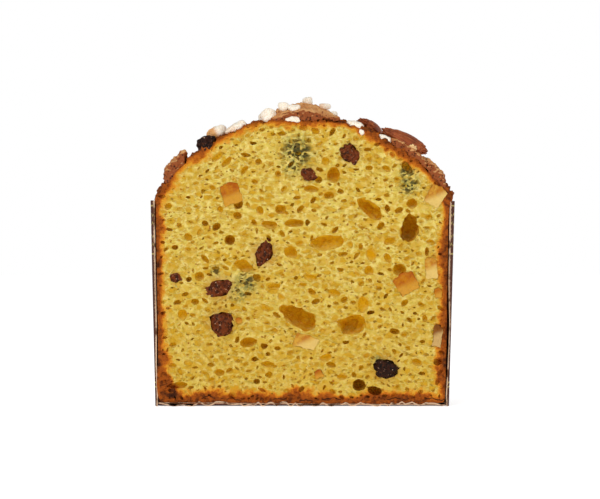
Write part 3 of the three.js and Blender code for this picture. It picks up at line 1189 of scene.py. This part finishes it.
@dataclass(frozen=True)
class MouldPaper:
    """Dark baking paper with a plain gold pattern, tan inside and pale where it is torn."""

    outside: Colour = tone(72, 36, 24)
    outside_light: Colour = tone(86, 46, 30)
    inside: Colour = tone(150, 96, 58)
    torn: Colour = tone(204, 172, 142)
    stained: Colour = tone(96, 62, 40)
    gold: Colour = tone(178, 160, 96)
    repeats: int = 46
    band_low: float = 71.5 * MM
    band_rows: int = 2
    line_heights: tuple[float, float] = (9 * MM, 11 * MM)

    def make(self, name: str, printed: bool) -> Graph:
        """Builds the material.

        Args:
            name: The material's name.
            printed: Whether it has the gold pattern.

        Returns:
            Its nodes, ready to wear.
        """
        graph = Graph(name)
        x, y, z = graph.axes()
        fibre = graph.noise(1.1 * MM, 4, graph.stretched(graph.place, (1, 1, 0.25)))
        paper = graph.mix(graph.ease(fibre, 0.35, 0.7), self.outside, self.outside_light)
        metal: Value = 0.0
        if printed:
            print_share = self.pattern(graph, x, y, z)
            paper = graph.mix(print_share, paper, self.gold)
            metal = graph.times(print_share, 0.55)
            level = graph.add("CombineXYZ", {0: x, 1: y})
            radial = graph.add("VectorMath", {0: level}, operation="NORMALIZE")
            facing = graph.add("NewGeometry", {}, "Normal")
            inward = graph.add("VectorMath", {0: facing, 1: radial}, 1, operation="DOT_PRODUCT")
            paper = graph.mix(graph.ease(inward, -0.5, -0.1, 1, 0), paper, self.inside)
        ragged = graph.wander(0.9 * MM, 3, 1.3 * MM)
        from_cut = graph.plus(graph.less(y, CUT), ragged)
        torn = graph.ease(from_cut, 0.35 * MM, 0.6 * MM, 1, 0)
        stain = graph.ease(graph.noise(5 * MM, 4, graph.stretched(graph.place, (1, 0.2, 1))), 0.5, 0.66)
        paper = graph.mix(torn, paper, graph.mix(stain, self.torn, self.stained))
        graph.dress(
            Base_Color=paper,
            Metallic=metal if printed else 0.0,
            Roughness=graph.ease(fibre, 0.2, 0.8, 0.5, 0.7),
            Specular_IOR_Level=0.06,
            Normal=graph.relief(fibre, 0.12 * MM, 0.6),
        )
        return graph

    def pattern(self, graph: Graph, x: Socket, y: Socket, z: Socket) -> Socket:
        """Draws a band of lozenges between thin lines.

        Args:
            graph: The material's nodes.
            x: The place's x.
            y: The place's y.
            z: The place's z.

        Returns:
            1 on the gold, 0 beside it.
        """
        pitch = 2 * math.pi * WALL_HIGH.x / self.repeats
        top = self.band_low + self.band_rows * pitch
        turns = graph.times(graph.math(y, x, "ARCTAN2"), self.repeats / (2 * math.pi))
        rows = graph.over(graph.less(z, self.band_low), pitch)
        reach = graph.plus(self.off_middle(graph, turns), self.off_middle(graph, rows))
        outline = graph.apart(reach, 0.4)
        lozenge = graph.ease(outline, 0.03, 0.055, 1, 0)
        middle = graph.ease(reach, 0.12, 0.15, 1, 0)
        over, under = graph.math(z, self.band_low, "GREATER_THAN"), graph.math(z, top, "LESS_THAN")
        in_band = graph.times(over, under)
        total = graph.times(graph.most(lozenge, middle), in_band)
        for height in (self.band_low - 1.4 * MM, top + 1.4 * MM, *self.line_heights):
            off_line = graph.apart(z, height)
            total = graph.most(total, graph.ease(off_line, 0.25 * MM, 0.4 * MM, 1, 0))
        return total

    @staticmethod
    def off_middle(graph: Graph, way: Socket) -> Socket:
        """Gives how far a place lies from the middle of its step, 0 to 0.5."""
        return graph.apart(graph.math(way, 1.0, "FLOORED_MODULO"), 0.5)


@dataclass
class PaperMould:
    """The fluted paper wall and the paper base under the loaf."""

    thickness: float = 0.5 * MM
    flutes: int = 150
    flute_depth: float = 0.55 * MM
    pinch: float = 0.7 * MM
    # Bends in the wall's cut edge: side, height and how far outward.
    loose_spots: tuple[tuple[int, float, float], ...] = ((1, 30 * MM, 1.4 * MM), (-1, 14 * MM, 0.6 * MM))
    steps: int = 900
    foot_radius: float = 68.3 * MM
    base_radius: float = 67.0 * MM
    base_rings: int = 45
    curls: int = 64
    seed: int = 5

    def wall(self) -> Piece:
        """Models the wall.

        Returns:
            The finished piece.
        """
        foot, rim = self.foot_radius - self.thickness, WALL_HIGH.x - self.thickness
        shares = (0, 0.02, 0.05, 0.2, 0.4, 0.6, 0.8, 0.94, 1)
        rings = [(foot + (rim - foot) * share, RIM * share) for share in shares]
        piece = Bench.turned("paper_wall_fluted", rings, self.steps, closed=False)
        points = Bench.points(piece)
        angle = np.arctan2(points[:, 1], points[:, 0])
        share = points[:, 2] / RIM
        depth = self.flute_depth * np.clip(share / 0.05, 0.15, 1)
        wave = 0.5 - 0.5 * np.cos(angle * self.flutes)
        near_cut = self.near_cut(points, 22 * MM)
        sway = 0.35 * MM * np.sin(angle * 7 + 1) * share
        radius = np.hypot(points[:, 0], points[:, 1])
        inward = depth * wave + self.pinch * near_cut * share**2 - sway * (1 - near_cut)
        points[:, :2] *= (1 - inward / radius)[:, None]
        ragged = 0.5 * MM * np.sin(angle * 11) * np.sin(angle * 5 + 2) - 0.5 * MM
        points[:, 2] += np.where(share > 0.97, ragged, 0)
        Bench.move_points(piece, points)
        Bench.slice_front(piece, fill=False)
        self.loosen(piece)
        return self.torn_sheet(piece, 0.55 * MM)

    def base(self) -> Piece:
        """Models the base.

        Returns:
            The finished piece.
        """
        reach, count = self.base_radius, self.base_rings
        rings = [(reach * (1 - step / count), self.thickness / 2) for step in range(count)]
        piece = Bench.turned("paper_base_torn", rings, 180, closed=False)
        points = Bench.points(piece)
        inner = np.hypot(points[:, 0], points[:, 1]) < reach * 0.03
        piece.data.vertices.foreach_set("select", inner)
        bpy.ops.object.mode_set(mode="EDIT")
        bpy.ops.mesh.edge_face_add()
        bpy.ops.object.mode_set(mode="OBJECT")
        Bench.slice_front(piece, fill=False)
        points = Bench.points(piece)
        knots = np.random.default_rng(self.seed).uniform(-0.25, 1, self.curls)
        wave = np.interp(points[:, 0], np.linspace(-reach, reach, self.curls), knots)
        lifted = self.near_cut(points, 7 * MM) * np.clip(wave, 0, 1)
        points[:, 2] += 2.2 * MM * lifted
        points[:, 1] -= 1.1 * MM * lifted
        Bench.move_points(piece, points)
        return self.torn_sheet(piece, 0.7 * MM)

    def loosen(self, piece: Piece) -> None:
        """Bends out the wall's cut edge where it came loose from the loaf.

        Args:
            piece: The wall, cut.
        """
        points = Bench.points(piece)
        near_cut = self.near_cut(points, 9 * MM)
        for side, height, reach in self.loose_spots:
            along = np.exp(-(((points[:, 2] - height) / (11 * MM)) ** 2))
            points[:, 0] += np.where(points[:, 0] * side > 0, side * reach * along * near_cut, 0)
        Bench.move_points(piece, points)

    @staticmethod
    def near_cut(points: np.ndarray, reach: float) -> np.ndarray:
        """Weighs points by how near the cut they lie: 1 on it, 0 beyond the reach."""
        return np.clip((CUT + reach - points[:, 1]) / reach, 0, 1) ** 2

    def torn_sheet(self, piece: Piece, reach: float) -> Piece:
        """Makes a sheet's edge at the cut ragged, and gives the sheet its thickness.

        Args:
            piece: The sheet, cut.
            reach: How far the raggedness goes back from the cut.

        Returns:
            The finished sheet.
        """
        rng = np.random.default_rng(self.seed)
        points = Bench.points(piece)
        edge = points[:, 1] < CUT + 0.02 * MM
        points[edge, 1] += reach * rng.random(int(edge.sum())) ** 2
        Bench.move_points(piece, points)
        Bench.finish(piece, "SOLIDIFY", thickness=self.thickness, offset=0)
        Bench.smooth(piece, 60)
        return piece


# ---------------------------------------------------------------- glaze, almonds and sugar


@dataclass(frozen=True)
class BakedGlaze:
    """Almond glaze baked dry: smooth and tan on top, dark, reddish and porous where it broke, with painted
    shade on faces that turn sideways or down and in its pits.
    """

    top: Colour = tone(212, 158, 100)
    top_dark: Colour = tone(184, 120, 66)
    broken: Colour = tone(142, 72, 28)
    broken_dark: Colour = tone(58, 20, 10)

    def make(self) -> Graph:
        """Builds the material.

        Returns:
            Its nodes, ready to wear.
        """
        graph = Graph("baked_glaze")
        _, _, up = graph.axes(graph.add("NewGeometry", {}, "Normal"))
        grain = graph.noise(0.8 * MM, 5)
        top = graph.mix(graph.ease(graph.noise(5 * MM, 4), 0.35, 0.7), self.top, self.top_dark)
        crack = graph.ease(graph.cells(3.6 * MM, feature="DISTANCE_TO_EDGE"), 0.01, 0.05, 1, 0)
        crack = graph.times(crack, graph.ease(graph.noise(6 * MM, 2), 0.5, 0.62))
        top = graph.mix(graph.times(crack, 0.6), top, self.broken)
        # Painted shade: the pits of the broken glaze are coloured darker.
        hollow = graph.ease(graph.cells(1.5 * MM), 0.12, 0.5, 1, 0)
        hollow = graph.times(hollow, graph.ease(grain, 0.35, 0.6))
        broken = graph.mix(hollow, self.broken, self.broken_dark)
        # Faces that turn sideways or down take the broken colour: partly the glaze's broken inside, partly
        # painted shade.
        wander = graph.wander(3 * MM, 3, 0.6)
        side = graph.ease(graph.plus(up, wander), 0.25, 0.6, 1, 0)
        sunk = graph.times(hollow, side)
        height = graph.less(graph.times(grain, 0.35), sunk)
        graph.dress(
            Base_Color=graph.mix(side, top, broken),
            Roughness=graph.ease(side, 0, 1, 0.74, 0.55),
            Specular_IOR_Level=0.2,
            Subsurface_Weight=0.08,
            Subsurface_Radius=(1.0, 0.5, 0.2),
            Subsurface_Scale=1 * MM,
            Normal=graph.relief(height, 0.5 * MM, 0.8),
        )
        return graph


@dataclass(frozen=True)
class AlmondSkin:
    """A toasted almond's ridged brown skin, with a pale spot where the skin is gone."""

    skin: Colour = tone(148, 70, 28)
    ridge: Colour = tone(186, 108, 54)
    groove: Colour = tone(80, 30, 12)
    flesh: Colour = tone(228, 190, 132)
    bare_spot: Optional[tuple[float, float, float, float]] = None

    def make(self, name: str) -> Graph:
        """Builds the material.

        Args:
            name: The material's name.

        Returns:
            Its nodes, ready to wear.
        """
        graph = Graph(name)
        along = graph.stretched(graph.own_place(), (0.1, 1, 1))
        ridges = graph.noise(0.75 * MM, 5, along, 0.6)
        # The bump's ridges are coloured lighter and its grooves darker: partly the skin's own tone, partly
        # painted light and painted shade.
        skin = graph.mix(graph.ease(ridges, 0.5, 0.72), self.skin, self.ridge)
        skin = graph.mix(graph.ease(ridges, 0.28, 0.46, 1, 0), skin, self.groove)
        patches = graph.ease(graph.noise(6 * MM, 3), 0.42, 0.7)
        skin = graph.mix(graph.times(patches, 0.45), skin, self.groove)
        height = ridges
        if self.bare_spot:
            *middle, reach = self.bare_spot
            near = graph.plus(graph.off(*middle), graph.wander(2 * MM, 3, 5 * MM))
            bare = graph.ease(near, reach, reach + 0.3 * MM, 1, 0)
            skin = graph.mix(bare, skin, self.flesh)
            height = graph.less(ridges, bare)
        graph.dress(
            Base_Color=skin,
            Roughness=graph.ease(ridges, 0.3, 0.7, 0.5, 0.34),
            Specular_IOR_Level=0.22,
            Normal=graph.relief(height, 0.4 * MM, 0.9),
        )
        return graph


# Where an almond lost a bit of its skin: x, y, z and reach.
BARE_ALMONDS = {"almond_right_outer": (50.8 * MM, CUT + 1 * MM, 119 * MM, 1.6 * MM)}


@dataclass(frozen=True)
class PearlSugar:
    """White, slightly see-through pearl sugar, some of it toasted on one side."""

    sugar: Colour = tone(244, 234, 218)
    shade: Colour = tone(228, 208, 182)
    toast: Colour = tone(214, 150, 70)
    toasted: float = 0

    def make(self, name: str) -> Graph:
        """Builds the material.

        Args:
            name: The material's name.

        Returns:
            Its nodes, ready to wear.
        """
        graph = Graph(name)
        grain = graph.noise(0.7 * MM, 4)
        sugar = graph.mix(graph.ease(grain, 0.3, 0.6), self.shade, self.sugar)
        if self.toasted:
            x, _, _ = graph.axes(graph.own_place())
            along = graph.plus(x, graph.times(grain, 0.5 * MM))
            toast = graph.ease(along, -1 * MM, 1.4 * MM, self.toasted, 0)
            sugar = graph.mix(toast, sugar, self.toast)
        graph.dress(
            Base_Color=sugar,
            Roughness=0.45,
            Specular_IOR_Level=0.35,
            Subsurface_Weight=0.5,
            Subsurface_Radius=(1.0, 0.9, 0.8),
            Subsurface_Scale=1.2 * MM,
            Normal=graph.relief(grain, 0.25 * MM, 0.3),
        )
        return graph


# How far a grain is toasted.
TOASTED_GRAINS = {"sugar_05": 0.35, "sugar_10": 0.9, "sugar_11": 0.2}


@dataclass
class Crown:
    """What lies on the loaf's crown."""

    seed: int = 23
    squareness: float = 0.78
    swell: float = 1.12

    def flake(self, node: str) -> Piece:
        """Models one flake of glaze: a thick shell that swells on top and crumbles at its edges.

        Args:
            node: The frame node that it stands for.

        Returns:
            The finished piece.
        """
        piece = Bench.worn_copy(node, f"{node}_flake", 0.4 * MM)
        Bench.finish(piece, "DISPLACE", strength=0.45 * MM, mid_level=0)
        Bench.roughen(piece, 5 * MM, 2.6 * MM)
        Bench.roughen(piece, 1.5 * MM, 1.9 * MM)
        Bench.smooth(piece)
        return piece

    def almond(self, node: str, number: int) -> Piece:
        """Models one almond: a pointed, flattened drop with ridges along it.

        Args:
            node: The frame node that it stands for.
            number: Which almond it is, so that no two have the same ridges.

        Returns:
            The finished piece.
        """
        length = 24
        shares = [0.004, 0.03, 0.1, 0.22, 0.36, 0.5, 0.64, 0.77, 0.88, 0.955, 0.992]
        bulge = [math.sqrt(math.sin(math.pi * at)) * (0.56 - 0.18 * at) for at in shares]
        rings = [(length * reach, length * (at - 0.5)) for at, reach in zip(shares, bulge)]
        piece = Bench.turned(f"{node}_nut", rings, 20, closed=True)
        piece.scale = (1 * MM, 0.6 * MM, 0.12 * MM)
        piece.location.z = number * 31 * MM
        Bench.settle(piece)
        Bench.finish(piece, "SUBSURF", levels=2, render_levels=2)
        Bench.roughen(piece, 1.3 * MM, 0.55 * MM)
        points = Bench.points(piece)
        points[:, 2] -= points[:, 2].mean()
        low, high = points.min(axis=0), points.max(axis=0)
        unit = (points - (low + high) / 2) / (high - low)
        Bench.move_points(piece, unit[:, [2, 0, 1]])
        Bench.outward(piece)
        lie = Lie.of(node)
        piece.scale = lie.size
        Bench.settle(piece)
        Bench.remember(piece, number * 17 * MM)
        lie.lay(piece)
        Bench.smooth(piece)
        return piece

    def grain(self, node: str, number: int) -> Piece:
        """Models one grain of pearl sugar: a worn, skewed block.

        Args:
            node: The frame node that it stands for.
            number: Which grain it is, so that no two are alike.

        Returns:
            The finished piece.
        """
        rng = random.Random(self.seed + number)
        piece = Bench.ball(f"{node}_nugget", 4, 0.5)
        points = Bench.points(piece) * 2
        points = np.sign(points) * np.abs(points) ** self.squareness / 2
        for axis in range(3):
            other = (axis + rng.choice((1, 2))) % 3
            points[:, axis] *= 1 + rng.uniform(-0.7, 0.7) * points[:, other]
        Bench.move_points(piece, points)
        lie = Lie.of(node)
        piece.scale = lie.size * self.swell
        Bench.settle(piece)
        Bench.remember(piece)
        lie.lay(piece)
        Bench.roughen(piece, 2.8 * MM, 1.3 * MM)
        Bench.roughen(piece, 1 * MM, 0.3 * MM)
        Bench.smooth(piece)
        return piece


# ---------------------------------------------------------------- raisins and candied peel


@dataclass(frozen=True)
class RaisinSkin:
    """A raisin's dark, sticky, wrinkled skin."""

    skin: Colour = tone(106, 46, 12)
    fold: Colour = tone(44, 16, 3)
    painted_sheen: Colour = tone(150, 90, 48)
    glint: Colour = tone(206, 168, 140)

    def make(self, name: str) -> Graph:
        """Builds the material.

        Args:
            name: The material's name.

        Returns:
            Its nodes, ready to wear.
        """
        graph = Graph(name)
        folds = graph.noise(1.6 * MM, 4, None, 0.6)
        # The bump's creases are coloured darker: partly the skin's own tone, partly painted shade.
        skin = graph.mix(graph.ease(folds, 0.35, 0.6), self.fold, self.skin)
        # Painted sheen: paler patches; then painted highlights: small pale glints.
        skin = graph.mix(graph.ease(graph.noise(0.9 * MM, 3), 0.56, 0.72, 0, 0.6), skin, self.painted_sheen)
        skin = graph.mix(graph.ease(graph.noise(0.7 * MM, 1), 0.68, 0.76, 0, 0.8), skin, self.glint)
        graph.dress(
            Base_Color=skin,
            Roughness=graph.ease(folds, 0.3, 0.7, 0.22, 0.36),
            Specular_IOR_Level=0.1,
            Normal=graph.relief(folds, 0.8 * MM, 0.9),
        )
        return graph


DARK_RAISIN = RaisinSkin(skin=tone(48, 20, 8), fold=tone(16, 6, 3), painted_sheen=tone(90, 50, 24))
DARK_RAISINS = ("raisin_lower_right", "raisin_on_crust")


@dataclass(frozen=True)
class CandiedPeel:
    """Candied peel: moist, see-through flesh with a paler pith side."""

    flesh: Colour = tone(182, 112, 8)
    deep: Colour = tone(160, 78, 2)
    pith: Colour = tone(198, 142, 42)
    pith_share: float = 0.35

    def make(self, name: str) -> Graph:
        """Builds the material.

        Args:
            name: The material's name.

        Returns:
            Its nodes, ready to wear.
        """
        graph = Graph(name)
        grain = graph.noise(2.4 * MM, 4)
        flesh = graph.mix(graph.ease(grain, 0.32, 0.66), self.deep, self.flesh)
        x, _, z = graph.axes(graph.own_place())
        slant = graph.less(z, graph.times(x, 0.4))
        across = graph.plus(slant, graph.times(grain, 3 * MM))
        edge = (0.5 - self.pith_share) * 8 * MM
        flesh = graph.mix(graph.ease(across, edge - 1.4 * MM, edge + 2 * MM, 0.9, 0), flesh, self.pith)
        graph.dress(
            Base_Color=flesh,
            Roughness=0.26,
            Specular_IOR_Level=0.14,
            Normal=graph.relief(graph.noise(1.2 * MM, 4), 0.3 * MM, 0.5),
        )
        return graph


PALE_PEEL = CandiedPeel(flesh=tone(198, 148, 50), deep=tone(172, 102, 14), pith=tone(216, 184, 104))
DARK_PEEL = CandiedPeel(
    flesh=tone(132, 78, 20), deep=tone(100, 50, 8), pith=tone(196, 160, 98), pith_share=0.2
)
DARK_PEEL_NODE = "peel_lower_right_edge"


@dataclass
class Fruit:
    """The raisins and the candied peel."""

    # The wrinkling shrinks a raisin, so that it starts larger than its node.
    raisin_stretch: tuple[float, float, float] = (1.26, 1.1, 1.28)

    def raisin(self, node: str) -> Piece:
        """Models one raisin: a shrunken, folded berry.

        Args:
            node: The frame node that it stands for.

        Returns:
            The finished piece.
        """
        piece = Bench.ball(f"{node}_berry", 5, 0.5)
        lie = Lie.of(node)
        lie.hold(piece, self.raisin_stretch)
        size = lie.size.y
        Bench.roughen(piece, 0.45 * size, 0.5 * size)
        Bench.roughen(piece, 0.22 * size, 0.16 * size, grain=Grain.CELLS)
        Bench.roughen(piece, 1.3 * MM, 0.9 * MM)
        Bench.finish(piece, "SMOOTH", factor=0.5, iterations=7)
        Bench.smooth(piece)
        return piece

    def peel(self, node: str) -> Piece:
        """Models one chunk of candied peel: a cut block with worn corners.

        Args:
            node: The frame node that it stands for.

        Returns:
            The finished piece.
        """
        piece = Bench.worn_copy(node, f"{node}_chunk", 0.32 * MM)
        Bench.roughen(piece, 3 * MM, 1.5 * MM)
        Bench.roughen(piece, 1.1 * MM, 0.5 * MM)
        middle = Lie.of(node).middle
        Bench.remember(piece, -np.array(middle))
        Bench.smooth(piece)
        return piece


# ---------------------------------------------------------------- the studio


@dataclass
class Studio:
    """A pale floor, soft light and the camera."""

    distance: float = 1.2
    aim: Vector = field(default_factory=lambda: Vector((-1 * MM, CUT, 72.1 * MM)))
    lens: float = 156.8
    floor_size: float = 12.0
    room_light: float = 0.5

    def build(self) -> None:
        """Sets up the floor, the world, the lamps and the camera."""
        self.floor()
        self.world()
        self.lamp("key_light", Vector((-0.55, -1.1, 1.15)), 0.9, 9.4)
        self.lamp("fill_light", Vector((0.95, -0.9, 0.7)), 1.0, 3.3)
        self.camera()
        bpy.context.scene.view_settings.view_transform = "Standard"

    def floor(self) -> None:
        """Lays the floor."""
        Bench.clear()
        bpy.ops.mesh.primitive_plane_add(size=self.floor_size, location=(0, 0, 0))
        floor = Bench.settle(Bench.started("floor"))
        graph = Graph("floor_white")
        graph.dress(
            Base_Color=tone(250, 250, 250),
            Roughness=0.9,
            Emission_Color=(1.0, 1.0, 1.0, 1.0),
            Emission_Strength=0.58,
        )
        graph.wear(floor)

    def world(self) -> None:
        """Makes the surroundings white."""
        world = bpy.data.worlds.new("white_room")
        world.use_nodes = True
        tree = world.node_tree
        backdrop = tree.nodes["Background"]
        backdrop.inputs["Color"].default_value = (1, 1, 1, 1)
        strength = tree.nodes.new("ShaderNodeMapRange")
        strength.inputs["To Min"].default_value = self.room_light
        path = tree.nodes.new("ShaderNodeLightPath")
        tree.links.new(path.outputs["Is Camera Ray"], strength.inputs["Value"])
        tree.links.new(strength.outputs[0], backdrop.inputs["Strength"])
        bpy.context.scene.world = world

    def lamp(self, name: str, place: Vector, size: float, power: float) -> None:
        """Hangs one soft lamp that looks at the loaf.

        Args:
            name: The lamp's name.
            place: Where it hangs.
            size: Its side, in metres.
            power: Its power in watts.
        """
        Bench.clear()
        bpy.ops.object.light_add(type="AREA", location=place)
        lamp = bpy.context.object
        lamp.name = name
        lamp.data.size = size
        lamp.data.energy = power
        self.turn_to_aim(lamp)

    def turn_to_aim(self, thing: Piece) -> None:
        """Turns a lamp or the camera to where the studio looks."""
        thing.rotation_euler = (self.aim - thing.location).to_track_quat("-Z", "Y").to_euler()

    def camera(self) -> None:
        """Places the camera level with the middle of the cut."""
        Bench.clear()
        bpy.ops.object.camera_add(location=self.aim + Vector((0, -self.distance, 0)))
        camera = bpy.context.object
        camera.data.lens = self.lens
        camera.data.sensor_width = 36
        camera.data.clip_start = 0.05
        self.turn_to_aim(camera)
        bpy.context.scene.camera = camera


def place_piece(piece: Piece, graph: Graph, slot: str, *nodes: str) -> None:
    """Dresses a finished piece and lets it stand for its frame nodes.

    Args:
        piece: The piece, modelled and in its place.
        graph: Its finish.
        slot: The record's material slot. Not used.
        nodes: The frame nodes it stands for.
    """
    graph.wear(piece)
    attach(piece, BODY)
    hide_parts(*nodes)
    LOG.info("%s: %d faces", piece.name, len(piece.data.polygons))


def main() -> None:
    """Builds every piece in order."""
    place_piece(Loaf().build(), BakedCrumb().make(), "crumb", "loaf")
    mould = PaperMould()
    place_piece(mould.wall(), MouldPaper().make("wall_paper", printed=True), "paper_wall", "paper_wall")
    place_piece(mould.base(), MouldPaper().make("base_paper", printed=False), "paper_base", "paper_base")
    crown = Crown()
    glaze = BakedGlaze().make()
    for node in nodes_of("glaze"):
        place_piece(crown.flake(node), glaze, "glaze", node)
    for number, node in enumerate(nodes_of("almond")):
        skin = AlmondSkin(bare_spot=BARE_ALMONDS.get(node)).make(f"almond_skin_{number}")
        place_piece(crown.almond(node, number), skin, "almond", node)
    for number, node in enumerate(nodes_of("sugar")):
        sugar = PearlSugar(toasted=TOASTED_GRAINS.get(node, 0)).make(f"pearl_sugar_{number:02d}")
        place_piece(crown.grain(node, number), sugar, "sugar", node)
    fruit = Fruit()
    skin = RaisinSkin().make("raisin_skin")
    dark_skin = DARK_RAISIN.make("dark_raisin_skin")
    for node in nodes_of("raisin"):
        place_piece(fruit.raisin(node), dark_skin if node in DARK_RAISINS else skin, "raisin", node)
    slots = {part["node"]: part["material_slot"] for part in frame["record"]["subparts"]}
    for node in nodes_of("peel"):
        plain = PALE_PEEL if slots[node] == "peel_pale" else CandiedPeel()
        finish = DARK_PEEL if node == DARK_PEEL_NODE else plain
        place_piece(fruit.peel(node), finish.make(f"candied_{node}"), slots[node], node)
    Studio().build()


if __name__ == "__main__":
    main()
